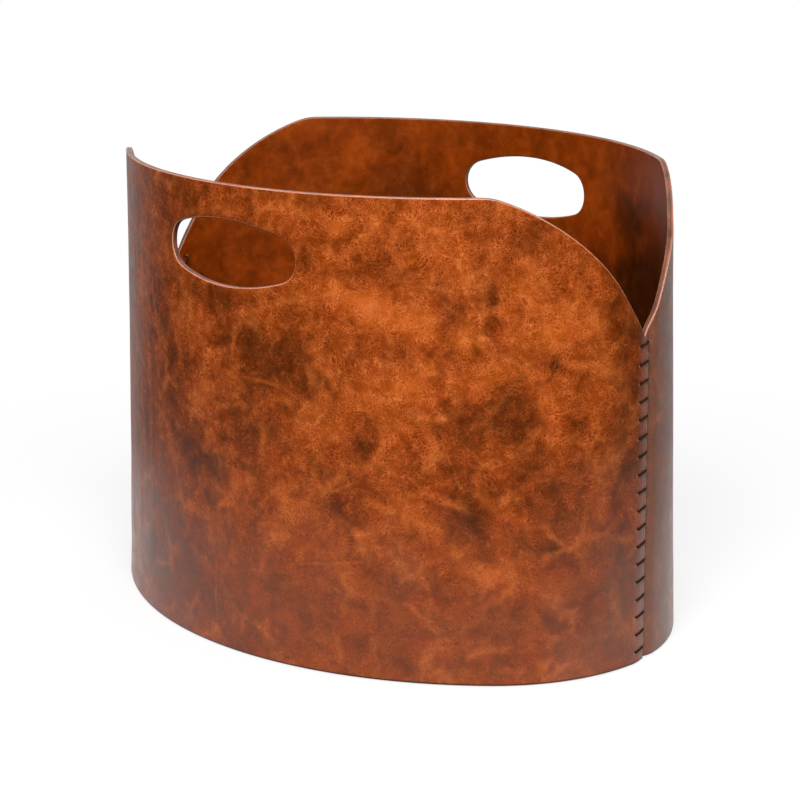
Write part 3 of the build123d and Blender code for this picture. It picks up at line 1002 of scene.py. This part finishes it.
# %% Two tones from two noises
def two_tones(name, noises, levels, dark, light):
    """A material of two colours. Each noise has a size in millimetres, a detail, a roughness and a share."""
    material = bpy.data.materials.new(name)
    tree = empty_tree(material)
    place = add(tree, "TexCoord", {}).outputs["Object"]
    mixed, made = 0.0, []
    for size, detail, roughness, share in noises:
        made.append(add(tree, "TexNoise", {"Vector": place, "Scale": 1000 / size, "Detail": detail,
            "Roughness": roughness}))
        mixed = add(tree, "Math MULTIPLY_ADD", {0: made[-1], 1: share, 2: mixed})
    shade = add(tree, "MapRange", {"Value": mixed, "From Min": levels[0], "From Max": levels[1]})
    body = add(tree, "Mix RGBA", {"Factor": shade, "A": dark, "B": light})
    return material, tree, made[0], mixed, body


# %% [markdown]
# A cut edge of leather shows its fibres. The maker rounded these edges, dyed them and rubbed them with wax until
# they shone. The rounded corner is painted pale orange as a painted highlight, mottled by a coarse noise, and the
# middle of the edge stays dark red. Its lowest millimetre is darkened as painted contact shade.

# %% Burnished edge
edge_leather, tree, fibre, mixed, body = two_tones("burnished_leather_edge", [(1.5, 4, 0.5, 0.6), (14, 4, 0.5, 0.9)],
                                                   (0.45, 1.05), "#3A1A10", "#86543E")
edge_highlight = add(tree, "Attribute", {}, attribute_name="edge_highlight").outputs["Fac"]
# Painted highlight along the rounded corner of the edge, broken up by the coarse noise.
painted_highlight = add(tree, "MapRange", {"Value": mixed, "From Min": 0.5, "From Max": 0.95, "To Min": 0.55})
painted_highlight = add(tree, "Math MULTIPLY", {0: edge_highlight, 1: painted_highlight})
for mask, code in ((painted_highlight, "#E09678"), (foot_shade_line(tree), foot_shade)):
    body = add(tree, "Mix RGBA", {"Factor": mask, "A": body, "B": code})
finish_with(tree, body, 0.32, fibre, 0.35, 0.1, {"IOR": 1.38})
print("edge:", edge_leather.name)

# %% [markdown]
# Waxed linen thread is spun from bast fibre and drawn through beeswax. It is nearly black and has a dull sheen with
# fine fibres along the strands.

# %% Waxed linen thread
waxed_linen, tree, fibre, mixed, body = two_tones("waxed_linen_thread", [(0.4, 3, 0.5, 1.0)], (0.0, 1.0),
                                                  "#100703", "#2E1A0C")
finish_with(tree, body, 0.7, fibre, 0.4, 0.1, {"IOR": 1.25})
print("thread:", waxed_linen.name)

# %% [markdown]
# The flesh side of leather is loose and suede-like, and here it faces the ground. Birch plywood is pale with long
# grain, and its edge shows the plies. Blued tacks are steel with a dark, slightly blue oxide.

# %% Flesh side, plywood and tacks
flesh_side, tree, nap, mixed, body = two_tones("leather_flesh_side_sueded",
                                               [(0.9, 4, 0.7, 0.5), (30, 4, 0.5, 0.8)], (0.35, 0.95),
                                               "#4A2F1E", "#8A6A4C")
finish_with(tree, body, 0.9, nap, 0.6, 0.3, {"IOR": 1.45, "Sheen Weight": 0.25, "Sheen Roughness": 0.4})

plywood = bpy.data.materials.new("birch_plywood")
tree = empty_tree(plywood)
place = add(tree, "TexCoord", {}).outputs["Object"]
stretched = add(tree, "Mapping", {"Vector": place, "Scale": (1.0, 12.0, 1.0)})
grain = add(tree, "TexNoise", {"Vector": stretched, "Scale": 1000 / 30, "Detail": 5.0, "Distortion": 0.4})
level = add(tree, "SeparateXYZ", {"Vector": place}).outputs["Z"]
layer = add(tree, "Math MULTIPLY", {0: level, 1: 2 * pi / (4 * mm)})
layer = add(tree, "Math SINE", {0: layer})
mixed = add(tree, "Math MULTIPLY_ADD", {0: layer, 1: 0.18, 2: grain})
body = add(tree, "Mix RGBA", {"Factor": mixed, "A": "#A97C4C", "B": "#E2C69A"})
finish_with(tree, body, 0.6, grain, 0.3, 0.2, {"IOR": 1.5})

blued_steel, tree, oxide, mixed, body = two_tones("blued_steel_tack", [(2, 3, 0.5, 1.0)], (0.0, 1.0),
                                                  "#23262E", "#4C505C")
rough = add(tree, "MapRange", {"Value": oxide, "To Min": 0.3, "To Max": 0.55})
shader = add(tree, "BsdfPrincipled", {"Base Color": body, "Metallic": 1.0, "Roughness": rough})
add(tree, "OutputMaterial", {"Surface": shader})
print("materials:", len(bpy.data.materials))

# %% [markdown]
# Each new piece takes its finish, stands for the CAD node that it was made from, and rides on the one body. The board
# and the tacks keep their CAD shape and only get their finish. Clearing a mesh's materials resets the material numbers
# of its faces, so these are kept aside and set again.

# %% Finish the pieces and tie them to the frame
def dress(piece, node, slot, finishes):
    """Gives a piece its materials and ties it to the frame."""
    numbers = [min(face.material_index, len(finishes) - 1) for face in piece.data.polygons]
    piece.data.materials.clear()
    for finish in finishes:
        piece.data.materials.append(finish)
    piece.data.polygons.foreach_set("material_index", numbers)
    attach(piece, "root")
    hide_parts(node)


grain_and_edge = [outer_leather, edge_leather]
inside_and_edge = [inner_leather, edge_leather]
dressing = [
    (skins["front_outer_skin"], "front_outer_leather", "outer_leather", grain_and_edge),
    (skins["front_lining_skin"], "front_lining", "lining_leather", inside_and_edge),
    (skins["rear_outer_skin"], "rear_outer_leather", "outer_leather", grain_and_edge),
    (skins["rear_lining_skin"], "rear_lining", "lining_leather", inside_and_edge),
    (right_thread, "right_seam_thread", "waxed_thread", [waxed_linen]),
    (left_thread, "left_seam_thread", "waxed_thread", [waxed_linen]),
    (floor_top, "floor_top_leather", "lining_leather", [inner_leather]),
    (floor_underside, "floor_underside_leather", "underside_leather", [flesh_side]),
]
for entry in dressing:
    dress(*entry)
for node, finish in (("floor_board", plywood), ("floor_tacks", blued_steel)):
    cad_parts[node].data.materials.clear()
    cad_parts[node].data.materials.append(finish)
print("dressed:", len(dressing), "pieces and 2 CAD nodes")

# %% [markdown]
# The photograph was taken in front of white paper. Here a pale floor fades into a white world. The camera sees both as
# white, and the leather sees a studio: bright paper behind the bucket and a dim room on the camera's side. That dim
# room is what keeps the front of the glossy leather deep and warm, while its far sides catch grey light. Glossy leather
# also mirrors the floor, so for its rays the paper glows behind the bucket and beside it, and is dark in front.

# %% Floor
paper_below = 0.6


def compass(turn, rise=0.0):
    """Direction away from the bucket, by its turn about Z from the front and its rise, both in degrees."""
    turn, rise = radians(turn), radians(rise)
    return Vector((sin(turn) * cos(rise), -cos(turn) * cos(rise), sin(rise)))


bpy.ops.object.select_all(action="DESELECT")
bpy.ops.mesh.primitive_circle_add(vertices=128, radius=6.0, fill_type="NGON")
floor = bpy.context.object
floor.name = "floor"
floor.data.transform(Matrix.Translation((0, 0, -paper_below * mm)))
paper = bpy.data.materials.new("white_background_paper")
tree = empty_tree(paper)
place = add(tree, "TexCoord", {}).outputs["Object"]
distance = add(tree, "VectorMath LENGTH", {0: place})
outwards = add(tree, "VectorMath NORMALIZE", {0: place})
ray = add(tree, "LightPath", {})
matt_white = add(tree, "BsdfDiffuse", {"Color": "#EFEFEF"})
glow = add(tree, "Emission", {"Color": "#FFFFFF", "Strength": 1.0})
seen = add(tree, "MixShader", {0: 0.7, 1: matt_white, 2: glow})
far = add(tree, "MapRange SMOOTHSTEP", {"Value": distance, "From Min": 0.35, "From Max": 0.75})
seen = add(tree, "MixShader", {0: far, 1: seen, 2: glow})
beside = add(tree, "VectorMath DOT_PRODUCT", {0: outwards, 1: compass(132)})
beside = add(tree, "Math ABSOLUTE", {0: beside})
beside = add(tree, "MapRange SMOOTHSTEP", {"Value": beside, "From Min": 0.25, "From Max": 0.85})
close = add(tree, "MapRange SMOOTHSTEP", {"Value": distance, "From Min": 0.38, "From Max": 0.8, "To Min": 0.8,
    "To Max": 0.0})
lit_paper = add(tree, "Math MULTIPLY", {0: beside, 1: close})
for turn, start, end, most in ((198, 0.32, 0.66, 0.75), (235, 0.62, 0.97, 0.72)):
    lobe = add(tree, "VectorMath DOT_PRODUCT", {0: outwards, 1: compass(turn)})
    lobe = add(tree, "MapRange SMOOTHSTEP", {"Value": lobe, "From Min": start, "From Max": end, "To Max": most})
    lit_paper = add(tree, "Math MAXIMUM", {0: lit_paper, 1: lobe})
lit_paper = add(tree, "Math MULTIPLY", {0: lit_paper, 1: ray.outputs["Is Glossy Ray"]})
lit_paper = add(tree, "Emission", {"Color": "#FFFFFF", "Strength": lit_paper})
near = add(tree, "MapRange SMOOTHSTEP", {"Value": distance, "From Min": 0.4, "From Max": 0.62, "To Min": 0.34,
    "To Max": 0.02})
reflected = add(tree, "BsdfDiffuse", {"Color": near})
reflected = add(tree, "AddShader", {0: reflected, 1: lit_paper})
both = add(tree, "MixShader", {0: ray.outputs["Is Camera Ray"], 1: reflected, 2: seen})
add(tree, "OutputMaterial", {"Surface": both})
floor.data.materials.append(paper)
print("floor:", floor.name)

# %% [markdown]
# The world is the room: bright on the side of the paper, dim on the camera's side, and plain white where the camera
# looks past the floor. A large softbox high above the camera gives the broad light on the front, and a weak one
# overhead fills the inside.

# %% World and lamps
studio = bpy.data.worlds.new("white_studio")
bpy.context.scene.world = studio
tree = empty_tree(studio)
direction = add(tree, "TexCoord", {}).outputs["Generated"]
towards_paper = add(tree, "VectorMath DOT_PRODUCT", {0: direction, 1: compass(222, 12)})
room = add(tree, "MapRange SMOOTHSTEP", {"Value": towards_paper, "From Min": 0.5, "From Max": 0.85, "To Min": 0.06,
    "To Max": 0.9})
ray = add(tree, "LightPath", {})
strength = add(tree, "Mix FLOAT", {"Factor": ray.outputs["Is Camera Ray"], "A": room, "B": 1.0})
world_light = add(tree, "Background", {"Color": "#FFFFFF", "Strength": strength})
add(tree, "OutputWorld", {"Surface": world_light})


def softbox(name, turn, rise, distance_away, size, power):
    """A square lamp that points at the middle of the bucket."""
    lamp = bpy.data.lights.new(name, "AREA")
    lamp.shape = "SQUARE"
    lamp.size = size
    lamp.energy = power
    holder = placed(name, lamp)
    away = compass(turn, rise)
    holder.location = Vector((0, 0, 0.17)) + away * distance_away
    holder.rotation_euler = (-away).to_track_quat("-Z", "Y").to_euler()


softbox("key_softbox", 38, 50, 2.4, 1.3, 80)
softbox("overhead_softbox", 180, 78, 2.2, 1.4, 12)
print("lamps:", len(bpy.data.lights))

# %% [markdown]
# The camera stands where the photographer did. Its place was solved from the outline, the rims and the slots of the
# bucket, which gives the height, the direction, the distance and a slight roll. The picture was cut a little off the
# middle of the view, which the shifts repeat.

# %% Camera
view_turn = 42.034
view_rise = 14.3565
view_roll = radians(-0.4969)
view_distance = 1.7695
aim_height = 0.1715
focal_pixels = 2311.8
image_side = 800
shift_right = 8.732
shift_up = -24.696
back = compass(view_turn, view_rise)
right = compass(view_turn + 90)
camera_data = bpy.data.cameras.new("camera")
camera_data.sensor_width = 36.0
camera_data.lens = focal_pixels * camera_data.sensor_width / image_side
camera_data.shift_x = shift_right / image_side
camera_data.shift_y = shift_up / image_side
camera = placed("camera", camera_data)
facing = Matrix((right, back.cross(right), back)).transposed().to_4x4()
place = Matrix.Translation(Vector((0, 0, aim_height)) + back * view_distance)
camera.matrix_world = place @ facing @ Matrix.Rotation(view_roll, 4, "Z")
bpy.context.scene.camera = camera
bpy.context.scene.view_settings.view_transform = "Standard"
print("camera:", round(view_distance, 2), "m away")
